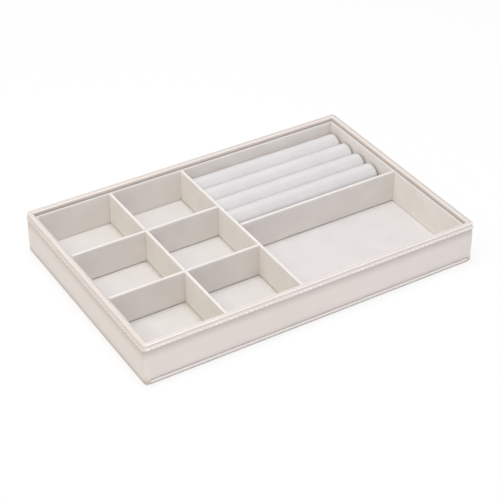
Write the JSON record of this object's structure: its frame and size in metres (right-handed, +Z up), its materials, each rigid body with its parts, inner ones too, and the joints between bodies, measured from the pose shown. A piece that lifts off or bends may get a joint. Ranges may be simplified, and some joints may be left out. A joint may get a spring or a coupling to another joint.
{
  "type": "jewelry tray",
  "caption": "Stackable leatherette-covered jewelry tray with velvet-lined small cells, a necklace bay and a ring bay of soft rolls.",
  "frame": {"origin": "middle of the underside", "axes": "+X left to right along the long front, +Y front to back, +Z up"},
  "size_m": [0.365, 0.246, 0.0455],
  "materials": {
    "leatherette": "off-white fine-grained leatherette, semi-matt",
    "lining_velvet": "short-pile velvet, warm off-white",
    "floor_velvet": "short-pile velvet, pale",
    "roll_velvet": "short-pile velvet, cool pale grey-white",
    "board": "fibreboard, raw",
    "card": "grey pressed card, raw",
    "foam": "soft white foam, open-celled"
  },
  "bodies": {
    "root": {"base_board": "board", "base_wrap": "leatherette", "outer_wrap": "leatherette", "rim_binding": "leatherette", "floor_card": "card", "floor_velvet": "floor_velvet", "front_board": "board", "front_liner_card": "card", "front_liner_velvet": "lining_velvet", "back_board": "board", "back_liner_card": "card", "back_liner_velvet": "lining_velvet", "left_board": "board", "left_liner_card": "card", "left_liner_velvet": "lining_velvet", "right_board": "board", "right_liner_card": "card", "right_liner_velvet": "lining_velvet", "left_long_divider_card": "card", "left_long_divider_velvet": "lining_velvet", "middle_long_divider_card": "card", "middle_long_divider_velvet": "lining_velvet", "front_cross_divider_card": "card", "front_cross_divider_velvet": "lining_velvet", "back_cross_divider_card": "card", "back_cross_divider_velvet": "lining_velvet", "ring_bay_divider_card": "card", "ring_bay_divider_velvet": "lining_velvet", "ring_roll_1_foam": "foam", "ring_roll_1_velvet": "roll_velvet", "ring_roll_2_foam": "foam", "ring_roll_2_velvet": "roll_velvet", "ring_roll_3_foam": "foam", "ring_roll_3_velvet": "roll_velvet", "ring_roll_4_foam": "foam", "ring_roll_4_velvet": "roll_velvet", "ring_roll_5_foam": "foam", "ring_roll_5_velvet": "roll_velvet"}
  },
  "joints": []
}
